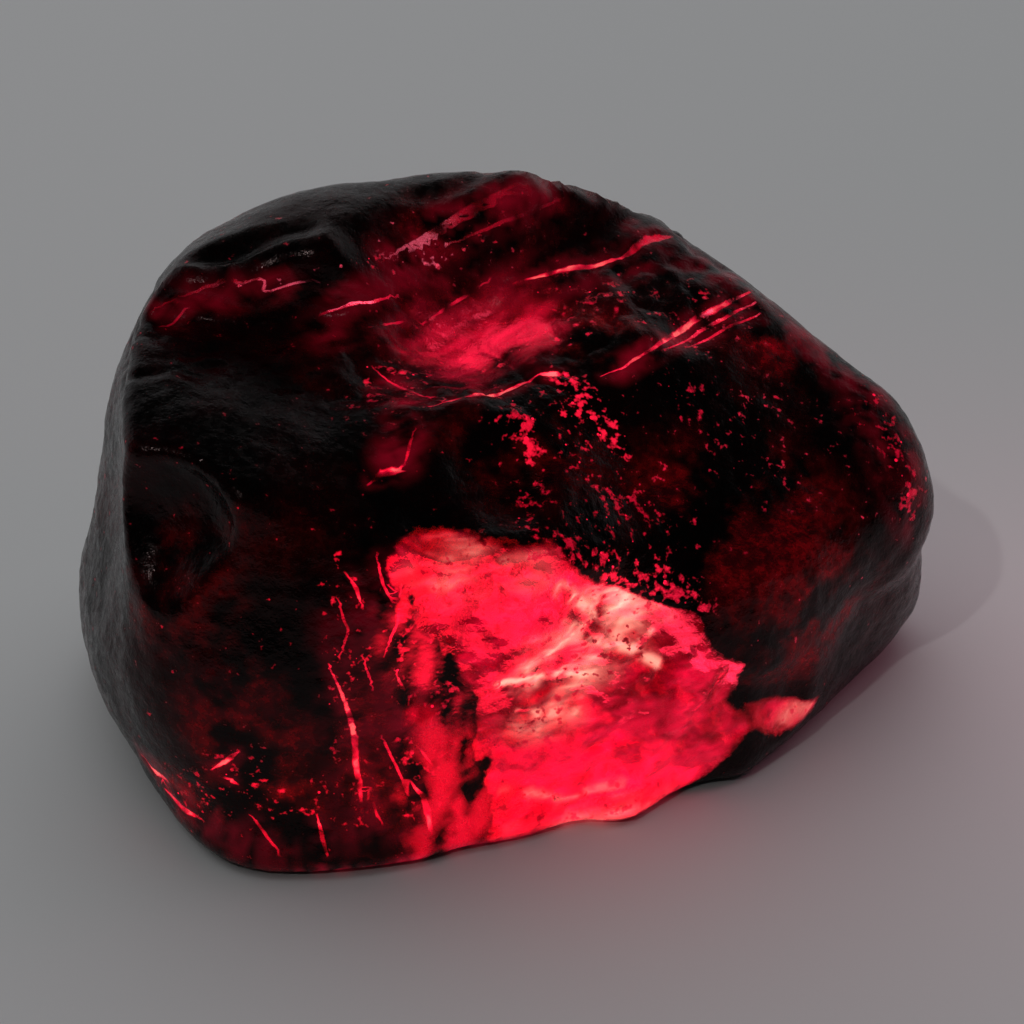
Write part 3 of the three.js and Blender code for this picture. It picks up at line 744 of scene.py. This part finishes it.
class StoneSettings(PropertyGroup):
    coarse_cuts: IntProperty(name="Coarse cuts", description="First divisions of the skin", default=20)
    fine_cuts: IntProperty(name="Fine cuts", description="Second divisions of the skin", default=3)
    ior: FloatProperty(name="IOR", description="How strongly the ruby bends light", default=1.762)
    skin_colour: FloatVectorProperty(
        name="Skin colour", description="Share of light that the thick worn skin lets through", subtype="COLOR", default=(0.002, 0.0, 0.0)
    )
    thin_skin_colour: FloatVectorProperty(
        name="Thin skin colour", description="Share of light that the thinnest skin lets through", subtype="COLOR", default=(0.2, 0.01, 0.03)
    )
    # Colour of all painted glow: at cracks, flecks, smears, the terrace patch and in the window.
    painted_glow_colour: FloatVectorProperty(
        name="Crack colour", description="Colour of light that leaves at cracks", subtype="COLOR", default=(1.0, 0.012, 0.075)
    )
    # Colour of the painted hot spots and pale streaks in the window.
    painted_hot_colour: FloatVectorProperty(
        name="Hot colour", description="Colour of the brightest light", subtype="COLOR", default=(1.0, 0.46, 0.34)
    )
    sheen_colour: FloatVectorProperty(
        name="Sheen colour", description="Tint of what the worn skin mirrors", subtype="COLOR", default=(0.32, 0.25, 0.25)
    )
    # Strength of the painted glow at cracks and flecks.
    painted_crack_glow: FloatProperty(name="Crack glow", description="How strongly cracks shine", default=0.8)
    depth_colour: FloatVectorProperty(
        name="Depth colour", description="Colour that light takes on inside", subtype="COLOR", default=(0.97, 0.07, 0.34)
    )
    depth_density: FloatProperty(name="Depth density", description="Strength of that colour per metre", default=400.0)


class StageSettings(PropertyGroup):
    floor_colour: FloatVectorProperty(
        name="Floor colour", description="Colour of the floor", subtype="COLOR", default=(0.72, 0.72, 0.72)
    )
    floor_radius: FloatProperty(
        name="Floor radius", description="Half the width of the floor", subtype="DISTANCE", default=1.5
    )
    camera_height: FloatProperty(
        name="Camera height", description="Angle above the floor", subtype="ANGLE", default=math.radians(35)
    )
    camera_distance: FloatProperty(
        name="Camera distance", description="From the middle of the stone", subtype="DISTANCE", default=0.0805
    )
    lens: FloatProperty(name="Lens", description="Focal length in millimetres", default=120.0)


# ---------------------------------------------------------------- operators


class RUBY_OT_stone(Operator):
    """Builds the stone with its skin, its fine relief and its cracks"""

    bl_idname = "ruby.stone"
    bl_label = "Stone"

    def execute(self, context):
        settings = context.scene.ruby_stone
        bm = skin_bmesh(settings.coarse_cuts, settings.fine_cuts)
        points = coordinates(bm)
        middle = (points.min(0) + points.max(0)) / 2
        bm.normal_update()
        outward = np.array([v.normal for v in bm.verts])
        fields = skin_fields(points, outward)
        add_relief(bm, points, relief(points, fields["window"], fields["line"]))
        shift = Vector((STONE_MIDDLE.x - middle[0] * MM, STONE_MIDDLE.y - middle[1] * MM, STONE_LOW.z))
        for v in bm.verts:
            v.co = v.co * MM + shift
        mesh = bpy.data.meshes.new("ruby_stone")
        bm.to_mesh(mesh)
        bm.free()
        mesh.shade_smooth()
        for name, values in fields.items():
            layer = mesh.attributes.new(name, "FLOAT", "POINT")
            layer.data.foreach_set("value", values.astype(np.float32))
        stone = bpy.data.objects.new("ruby_stone", mesh)
        context.scene.collection.objects.link(stone)
        mesh.materials.append(ruby_material(settings))
        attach(stone, BODY)
        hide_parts(NODE)
        return {"FINISHED"}


def soft_lamp(name, direction, distance, size, target, radiance, colour, spread):
    """A flat lamp that faces its target from a compass angle (0 behind the stone, 90 right) and a height angle."""
    turn, height = (math.radians(angle) for angle in direction)
    way = Vector((math.sin(turn) * math.cos(height), math.cos(turn) * math.cos(height), math.sin(height)))
    data = bpy.data.lights.new(name, "AREA")
    data.shape = "RECTANGLE"
    data.size, data.size_y = size
    data.energy = radiance * math.pi * size[0] * size[1]
    data.color = colour
    data.spread = math.radians(spread)
    light = bpy.data.objects.new(name, data)
    light.location = Vector(target) + way * distance
    light.rotation_euler = way.to_track_quat("Z", "Y").to_euler()
    bpy.context.scene.collection.objects.link(light)
    return light


def only_on(lamp, piece):
    """Lets a lamp light one piece and nothing else, and keeps it out of mirror reflections and of the picture."""
    lit = bpy.data.collections.new(lamp.name + "_lights")
    lit.objects.link(piece)
    lamp.light_linking.receiver_collection = lit
    lamp.visible_glossy = False
    lamp.visible_camera = False


def dim_room():
    """A dark room with a soft light band low behind the stone."""
    world = bpy.data.worlds.new("studio")
    world.use_nodes = True
    nodes, links = world.node_tree.nodes, world.node_tree.links
    sky = nodes["Background"]
    sky.inputs["Color"].default_value = (0.95, 0.97, 1.0, 1)
    split = nodes.new("ShaderNodeSeparateXYZ")
    links.new(nodes.new("ShaderNodeTexCoord").outputs["Generated"], split.inputs[0])
    behind = ramp(nodes, links, split.outputs["Y"], -0.2, 0.6, 0.0, 1.0)
    low = ramp(nodes, links, split.outputs["Z"], 0.4, 0.8, 1.0, 0.0)
    band = sum_of(nodes, links, behind, low, "MULTIPLY")
    links.new(ramp(nodes, links, band, 0.0, 1.0, 0.03, 0.32), sky.inputs["Strength"])
    return world


class RUBY_OT_stage(Operator):
    """Builds the floor, the lights and the camera"""

    bl_idname = "ruby.stage"
    bl_label = "Stage"

    def execute(self, context):
        settings = context.scene.ruby_stage
        bm = bmesh.new()
        bmesh.ops.create_circle(bm, cap_ends=True, segments=96, radius=settings.floor_radius)
        mesh = bpy.data.meshes.new("floor")
        bm.to_mesh(mesh)
        bm.free()
        floor = bpy.data.objects.new("floor", mesh)
        context.scene.collection.objects.link(floor)
        mesh.materials.append(floor_material(settings))

        scene = context.scene
        scene.world = dim_room()
        scene.view_settings.view_transform = "Standard"
        scene.view_settings.look = "Medium High Contrast"
        scene.cycles.max_bounces = 12
        scene.cycles.transmission_bounces = 12
        scene.cycles.glossy_bounces = 8
        scene.cycles.caustics_reflective = False
        scene.cycles.caustics_refractive = False
        top = soft_lamp("top_lamp", (-30, 70), 0.27, (0.45, 0.45), (0, 0.045, 0), 0.56, (0.97, 0.98, 1.0), 180)
        only_on(top, floor)
        pool = soft_lamp("pink_pool", (80, 50), 0.02, (0.006, 0.006), (0.0108, -0.0005, 0), 1.6, (1.0, 0.3, 0.45), 120)
        only_on(pool, floor)
        torch = soft_lamp("torch", (0, -10), -0.0003, (0.018, 0.0095), (-0.001, 0.0101, 0.0049), 3.8, (1, 0.97, 0.92), 180)
        panel = soft_lamp("back_panel", (-12, 45), 0.009, (0.016, 0.008), (0, 0.0045, 0.0065), 3.2, (1.0, 0.97, 0.93), 180)
        soft_lamp("spark_lamp", (-150, 50), 0.25, (0.006, 0.006), (0, 0, 0.006), 320.0, (1, 0.98, 0.96), 180)
        below = soft_lamp("floor_panel", (0, 90), 0.0, (0.017, 0.006), (-0.0005, 0.0085, 0.00002), 2.4, (1, 0.97, 0.92), 180)
        below.rotation_euler = (math.pi, 0, 0)
        stone = bpy.data.objects["ruby_stone"]
        only_on(below, stone)
        only_on(torch, stone)
        only_on(panel, stone)
        look = Vector((0.00015, -0.00009, 0.0054))
        height = settings.camera_height
        back = Vector((0, -math.cos(height), math.sin(height)))
        data = bpy.data.cameras.new("camera")
        data.lens = settings.lens
        data.clip_start = 0.001
        camera = bpy.data.objects.new("camera", data)
        camera.location = look + back * settings.camera_distance
        camera.rotation_euler = (-back).to_track_quat("-Z", "Y").to_euler()
        context.scene.collection.objects.link(camera)
        context.scene.camera = camera
        return {"FINISHED"}


class RUBY_PT_panel(Panel):
    """Lists the steps that build the crystal"""

    bl_idname = "RUBY_PT_panel"
    bl_label = "Ruby crystal"
    bl_space_type = "VIEW_3D"
    bl_region_type = "UI"
    bl_category = "Ruby"

    def draw(self, context):
        for operator in OPERATORS:
            self.layout.operator(operator.bl_idname)


OPERATORS = (RUBY_OT_stone, RUBY_OT_stage)
CLASSES = (StoneSettings, StageSettings, *OPERATORS, RUBY_PT_panel)


def register():
    for made in CLASSES:
        bpy.utils.register_class(made)
    bpy.types.Scene.ruby_stone = PointerProperty(type=StoneSettings)
    bpy.types.Scene.ruby_stage = PointerProperty(type=StageSettings)


def unregister():
    del bpy.types.Scene.ruby_stage
    del bpy.types.Scene.ruby_stone
    for made in reversed(CLASSES):
        bpy.utils.unregister_class(made)


def main():
    register()
    bpy.ops.ruby.stone()
    bpy.ops.ruby.stage()


if __name__ == "__main__":
    main()
